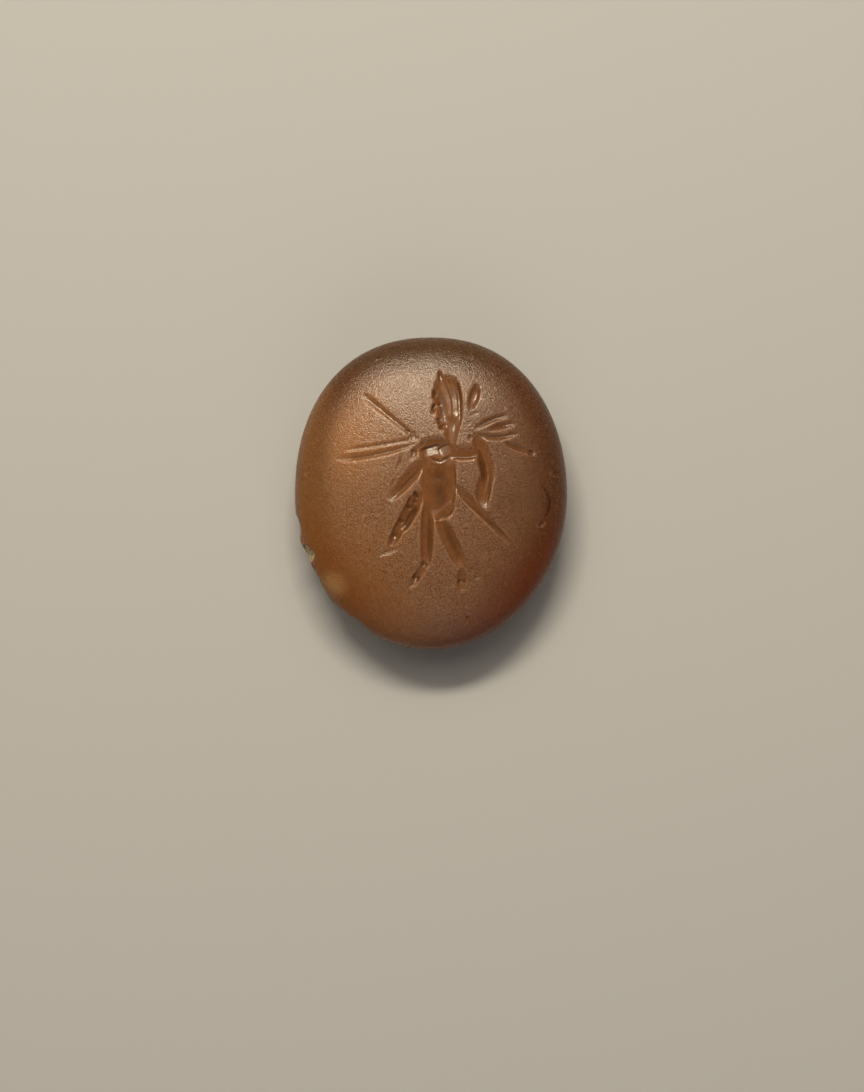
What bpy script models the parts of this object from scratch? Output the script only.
"""Intaglio gem: an oval carnelian ringstone with a striding figure cut into its convex face.

The stone lies on its flat back. +Z points out of the engraved face, +Y runs up the figure
and +X is to the right of someone who looks at the face. The origin is the middle of the
outline on the back. Lengths are in metres.
"""

from collections import namedtuple

import bmesh
import bpy
import numpy as np

# Sizes of the stone
STONE_LENGTH = 0.0125
STONE_WIDTH = 0.0109
STONE_THICKNESS = 0.0038
GIRDLE_HEIGHT = 0.0019
GIRDLE_BAND = 0.00016
BACK_INSET = 0.0011
BACK_EDGE_ROUND = 0.00018

# Form of the outline and of the dome: 2 is an ellipse, more is squarer.
# The outline is squarest towards its full side, in degrees from +X.
OUTLINE_EXPONENT = 2.09
OUTLINE_EXPONENT_SWING = 0.13
OUTLINE_FULL_SIDE = 113.0
DOME_FULLNESS = 2.2

# The engraved figure: its height and the place of its middle on the face
FIGURE_HEIGHT = 0.0087
FIGURE_OFFSET_X = 0.00024
FIGURE_OFFSET_Y = 0.00044

# How far the axis of a groove's cutter stands above the face
WHEEL_LIFT = 0.00001

# Fineness of the mesh
OUTLINE_SEGMENTS = 72
DOME_RINGS = 11
GROOVE_STATIONS = 11
GROOVE_SIDES = 12
FINE_GROOVE_STATIONS = 9
FINE_GROOVE_SIDES = 8
FINE_GROOVE_WIDTH = 0.035

# Losses at the lower left edge: a notch, a scoop in the face's rim, and two nearly flat
# breaks. Each chip: place on the outline in degrees from +X, how far it bites in, the
# length and height of the ball that it is the inside of, and how far its middle stands
# above the girdle.
Chip = namedtuple("Chip", "angle bite length height lift")
CHIPS = (
    Chip(193.5, 0.00017, 0.00135, 0.0016, 0.0002),
    Chip(206.0, 0.00030, 0.0008, 0.0011, 0.00055),
    Chip(209.0, 0.00014, 0.0060, 0.0040, 0.0),
    Chip(235.5, 0.00016, 0.0026, 0.0030, 0.0),
)
CHIP_ROUGHNESS = 0.07
CHIP_SEED = 7

# One groove of the wheel. Places, width and depth are shares of the figure's height.
# fullness: 2 swells evenly from end to end, more keeps its width for longer.
# end_power: 0.5 gives round ends, 1 gives pointed ends.
# taper: share of the width and depth lost towards the end of the stroke.
# bow: how far the middle stands to the left of the line from start to end.
Groove = namedtuple(
    "Groove",
    "name start end width depth fullness end_power taper bow",
    defaults=(2.0, 0.5, 0.0, 0.0),
)


def clear_scene():
    """Remove every object that is already there."""
    for thing in list(bpy.data.objects):
        bpy.data.objects.remove(thing, do_unlink=True)


def outline_exponent(angle):
    """Exponent of the outline at a polar angle: squarer at the upper left than elsewhere."""
    return OUTLINE_EXPONENT + OUTLINE_EXPONENT_SWING * np.cos(angle - np.radians(OUTLINE_FULL_SIDE))


def outline_radius(angle, inset=0.0):
    """Distance from the middle to the outline, moved inwards by inset."""
    half_width = STONE_WIDTH / 2 - inset
    half_length = STONE_LENGTH / 2 - inset
    power = outline_exponent(angle)
    across = np.abs(np.cos(angle) / half_width) ** power
    along = np.abs(np.sin(angle) / half_length) ** power
    return (across + along) ** (-1 / power)


def outline_share(x, y):
    """0 at the middle of the face, 1 on the outline."""
    return np.hypot(x, y) / outline_radius(np.arctan2(y, x))


def dome_height(x, y):
    """Height of the plain domed face over a point, with the girdle's height outside it."""
    girdle_top = GIRDLE_HEIGHT + GIRDLE_BAND / 2
    share = np.minimum(outline_share(x, y), 1.0)
    return girdle_top + (STONE_THICKNESS - girdle_top) * np.sqrt(1 - share**DOME_FULLNESS)


def ring_angles():
    """Polar angles of the outline's corners, evenly spread along the oval."""
    turn = np.linspace(0, 2 * np.pi, OUTLINE_SEGMENTS, endpoint=False)
    return np.arctan2(STONE_LENGTH * np.sin(turn), STONE_WIDTH * np.cos(turn))


def side_profile():
    """Inset and height of the rings from the back face up to the girdle."""
    girdle_foot = GIRDLE_HEIGHT - GIRDLE_BAND / 2
    slope = BACK_INSET / girdle_foot
    return [
        (BACK_INSET + BACK_EDGE_ROUND, 0.0),
        (BACK_INSET + BACK_EDGE_ROUND * 0.3, BACK_EDGE_ROUND * 0.3),
        (BACK_INSET - BACK_EDGE_ROUND * slope, BACK_EDGE_ROUND),
        (BACK_INSET * 0.5, girdle_foot * 0.52),
        (0.0, girdle_foot),
        (0.0, girdle_foot + GIRDLE_BAND),
    ]


def build_stone():
    """Loft the plain stone: flat back, slanted side, girdle band and domed face."""
    angles = ring_angles()
    mesh = bmesh.new()
    rings = []
    for inset, height in side_profile():
        radius = outline_radius(angles, inset)
        ring = [
            mesh.verts.new((r * np.cos(a), r * np.sin(a), height))
            for r, a in zip(radius, angles)
        ]
        rings.append(ring)
    rim = outline_radius(angles)
    for step in range(1, DOME_RINGS):
        share = np.cos(step / DOME_RINGS * np.pi / 2)
        x = share * rim * np.cos(angles)
        y = share * rim * np.sin(angles)
        rings.append([mesh.verts.new(p) for p in zip(x, y, dome_height(x, y))])
    crown = mesh.verts.new((0, 0, STONE_THICKNESS))
    mesh.faces.new(reversed(rings[0]))
    for lower, upper in zip(rings, rings[1:]):
        bridge(mesh, lower, upper)
    close_with_fan(mesh, rings[-1], crown)
    return new_object("carnelian_intaglio_gem", mesh)


def bridge(mesh, lower, upper):
    """Join two rings of equal count with a band of four-sided faces."""
    for k in range(len(lower)):
        after = (k + 1) % len(lower)
        mesh.faces.new((lower[k], lower[after], upper[after], upper[k]))


def close_with_fan(mesh, ring, tip):
    """Close a ring with triangles to one point."""
    for k in range(len(ring)):
        mesh.faces.new((ring[k], ring[(k + 1) % len(ring)], tip))


def new_object(name, mesh):
    """Turn a bmesh into a named object in the scene, with its faces outwards."""
    mesh.normal_update()
    bmesh.ops.recalc_face_normals(mesh, faces=mesh.faces)
    data = bpy.data.meshes.new(name)
    mesh.to_mesh(data)
    mesh.free()
    thing = bpy.data.objects.new(name, data)
    bpy.context.scene.collection.objects.link(thing)
    return thing


def groove_path(groove, t):
    """Places along a groove on the face, in metres, and its sideways direction."""
    start = np.array(groove.start)
    end = np.array(groove.end)
    chord = end - start
    length = np.hypot(*chord)
    left = np.array((-chord[1], chord[0])) / length
    bulge = 4 * groove.bow * t * (1 - t)
    path = start + np.outer(t, chord) + np.outer(bulge, left)
    heading = chord + np.outer(4 * groove.bow * (1 - 2 * t), left)
    heading /= np.hypot(heading[:, 0], heading[:, 1])[:, None]
    sideways = np.stack((-heading[:, 1], heading[:, 0]), axis=1)
    offset = np.array((FIGURE_OFFSET_X, FIGURE_OFFSET_Y))
    return offset + path * FIGURE_HEIGHT, sideways


def groove_swell(groove, t):
    """Share of the full width and depth along a groove."""
    belly = (1 - np.abs(2 * t - 1) ** groove.fullness) ** groove.end_power
    return belly * (1 - groove.taper * t)


def build_groove(groove):
    """Make the cutter of one groove: a spindle with an elliptical section along the face."""
    fine = groove.width < FINE_GROOVE_WIDTH
    stations = FINE_GROOVE_STATIONS if fine else GROOVE_STATIONS
    sides = FINE_GROOVE_SIDES if fine else GROOVE_SIDES
    t = (1 - np.cos(np.linspace(0, np.pi, stations + 2))) / 2
    path, sideways = groove_path(groove, t)
    level = dome_height(path[:, 0], path[:, 1]) + WHEEL_LIFT
    swell = groove_swell(groove, t)
    half_width = swell * groove.width * FIGURE_HEIGHT / 2
    depth = swell * groove.depth * FIGURE_HEIGHT
    mesh = bmesh.new()
    rings = []
    for k in range(1, stations + 1):
        ring = []
        for turn in np.arange(sides) * 2 * np.pi / sides:
            x, y = path[k] + sideways[k] * half_width[k] * np.cos(turn)
            ring.append(mesh.verts.new((x, y, level[k] + depth[k] * np.sin(turn))))
        rings.append(ring)
    for lower, upper in zip(rings, rings[1:]):
        bridge(mesh, lower, upper)
    close_with_fan(mesh, rings[0], mesh.verts.new((*path[0], level[0])))
    close_with_fan(mesh, rings[-1], mesh.verts.new((*path[-1], level[-1])))
    return new_object("cut_" + groove.name, mesh)


def head_grooves():
    """Skull, face, neck and the tuft of hair above the brow, in profile to the left."""
    return [
        Groove("skull", (0.052, 0.484), (0.086, 0.258), 0.104, 0.044, 2.6, bow=0.004),
        Groove("face", (-0.006, 0.466), (0.044, 0.238), 0.074, 0.036, 2.4),
        Groove("neck", (0.076, 0.290), (0.060, 0.150), 0.060, 0.036, 3.0),
        Groove("hair_tuft", (0.016, 0.520), (0.012, 0.450), 0.020, 0.014, end_power=1.0),
    ]


def trunk_grooves():
    """Chest, flank, belly and shoulder of the naked body."""
    return [
        Groove("trunk", (0.024, 0.152), (0.008, -0.148), 0.124, 0.046, 4.0),
        Groove("flank", (-0.034, 0.118), (-0.048, -0.140), 0.058, 0.032, 3.0),
        Groove("belly", (0.036, 0.070), (0.020, -0.160), 0.100, 0.060, 2.6),
        Groove("breast_left", (-0.066, 0.160), (0.012, 0.118), 0.062, 0.040, 2.4),
        Groove("breast_right", (-0.004, 0.168), (0.070, 0.128), 0.062, 0.040, 2.4),
        Groove("shoulder", (0.040, 0.150), (0.182, 0.154), 0.064, 0.036, 3.0),
    ]


def arm_grooves():
    """Right arm bent to the hip, left arm stretched down with its upper arm behind."""
    return [
        Groove("right_upper_arm", (0.172, 0.216), (0.246, -0.008), 0.072, 0.038, 2.6, bow=0.010),
        Groove("right_forearm", (0.252, 0.066), (0.212, -0.136), 0.066, 0.034, 2.4, bow=-0.012),
        Groove("left_upper_arm", (-0.026, 0.202), (-0.100, 0.136), 0.024, 0.014, end_power=1.0),
        Groove("left_forearm", (-0.058, 0.104), (-0.222, -0.082), 0.048, 0.030, 2.4),
    ]


def leg_grooves():
    """Bent trailing leg, straight standing leg and leading leg, with their feet."""
    return [
        Groove("trailing_thigh", (-0.078, -0.052), (-0.176, -0.226), 0.058, 0.034, 2.4),
        Groove("trailing_calf", (-0.134, -0.132), (-0.226, -0.306), 0.046, 0.028, 2.4),
        Groove("trailing_foot", (-0.274, -0.342), (-0.162, -0.296), 0.017, 0.012, end_power=1.0),
        Groove("standing_leg", (-0.048, -0.096), (-0.046, -0.398), 0.060, 0.038, 3.2),
        Groove("standing_foot", (-0.050, -0.368), (-0.132, -0.494), 0.042, 0.028, 2.6),
        Groove("leading_leg", (-0.002, -0.166), (0.126, -0.404), 0.058, 0.034, 2.6),
        Groove("leading_foot", (0.112, -0.388), (0.110, -0.500), 0.034, 0.011, 2.4),
    ]


def staff_grooves():
    """The staff that passes behind the body, and the pair of reeds at its left."""
    return [
        Groove("staff_top", (-0.350, 0.412), (-0.088, 0.192), 0.034, 0.016, 4.0, taper=0.45),
        Groove("staff_foot", (0.066, 0.004), (0.354, -0.304), 0.050, 0.022, 3.0, 0.8, 0.75),
        Groove("upper_reed", (-0.438, 0.144), (-0.072, 0.204), 0.016, 0.010, 3.0, 1.0, bow=-0.006),
        Groove("lower_reed", (-0.468, 0.108), (-0.084, 0.186), 0.038, 0.020, 3.0, 0.8, 0.45, -0.010),
        Groove("drapery_fold", (-0.150, 0.152), (-0.192, 0.030), 0.014, 0.010, end_power=1.0),
    ]


def branch_grooves():
    """Leaves of the branch held up at the right, and the single leaf beside the head."""
    return [
        Groove("head_leaf", (0.194, 0.462), (0.146, 0.326), 0.044, 0.026, 2.0, 0.8),
        Groove("upper_sprig", (0.164, 0.238), (0.332, 0.308), 0.015, 0.010, 2.6, 1.0, bow=0.010),
        Groove("middle_leaf", (0.228, 0.234), (0.374, 0.268), 0.034, 0.020, 2.0, 0.8, bow=0.008),
        Groove("lower_sprig", (0.156, 0.228), (0.380, 0.228), 0.026, 0.016, 2.4, 1.0, bow=-0.022),
        Groove("outer_leaf", (0.308, 0.182), (0.436, 0.136), 0.034, 0.018, 2.4),
        Groove("outer_drill_hole", (0.418, 0.138), (0.440, 0.128), 0.024, 0.022),
    ]


def build_chip(number, chip):
    """Make the cutter of one broken place at the edge: a rough, flattened ball."""
    mesh = bmesh.new()
    bmesh.ops.create_icosphere(mesh, subdivisions=2, radius=1.0)
    shake = np.random.default_rng(CHIP_SEED + number)
    angle = np.radians(chip.angle)
    reach = outline_radius(angle) + chip.bite
    outwards = np.array((np.cos(angle), np.sin(angle), 0.0))
    sideways = np.array((-np.sin(angle), np.cos(angle), 0.0))
    for corner in mesh.verts:
        rough_radius = 1 + CHIP_ROUGHNESS * shake.uniform(-1, 1)
        out, along, up = np.array(corner.co) * rough_radius
        place = outwards * (reach + out * 2 * chip.bite)
        place += sideways * along * chip.length / 2
        place[2] = GIRDLE_HEIGHT + chip.lift + up * chip.height / 2
        corner.co = place
    return new_object(f"cut_chip_{number}", mesh)


def hide_cutter(thing, cutters):
    """Move a cutter to the cutters' collection and keep it out of renders."""
    bpy.context.scene.collection.objects.unlink(thing)
    cutters.objects.link(thing)
    thing.hide_render = True
    thing.display_type = "WIRE"


def cut_stone(stone):
    """Take every groove and chip out of the stone in one exact Boolean."""
    cutters = bpy.data.collections.new("cutters")
    bpy.context.scene.collection.children.link(cutters)
    grooves = (
        head_grooves()
        + trunk_grooves()
        + arm_grooves()
        + leg_grooves()
        + staff_grooves()
        + branch_grooves()
    )
    for groove in grooves:
        hide_cutter(build_groove(groove), cutters)
    for number, chip in enumerate(CHIPS, 1):
        hide_cutter(build_chip(number, chip), cutters)
    engraving = stone.modifiers.new("engraving", "BOOLEAN")
    engraving.operation = "DIFFERENCE"
    engraving.operand_type = "COLLECTION"
    engraving.collection = cutters
    engraving.solver = "EXACT"


def carnelian():
    """Brown-orange translucent chalcedony with a softly worn polish."""
    material = bpy.data.materials.new("carnelian")
    material.use_nodes = True
    shader = material.node_tree.nodes["Principled BSDF"]
    shader.inputs["Base Color"].default_value = (0.31, 0.11, 0.04, 1.0)
    shader.inputs["Roughness"].default_value = 0.35
    shader.inputs["Metallic"].default_value = 0.0
    shader.inputs["IOR"].default_value = 1.54
    return material


def main():
    """Build the ringstone."""
    clear_scene()
    stone = build_stone()
    stone.data.materials.append(carnelian())
    stone.data.shade_smooth()
    stone.data.set_sharp_from_angle(angle=np.radians(40))
    cut_stone(stone)


main()
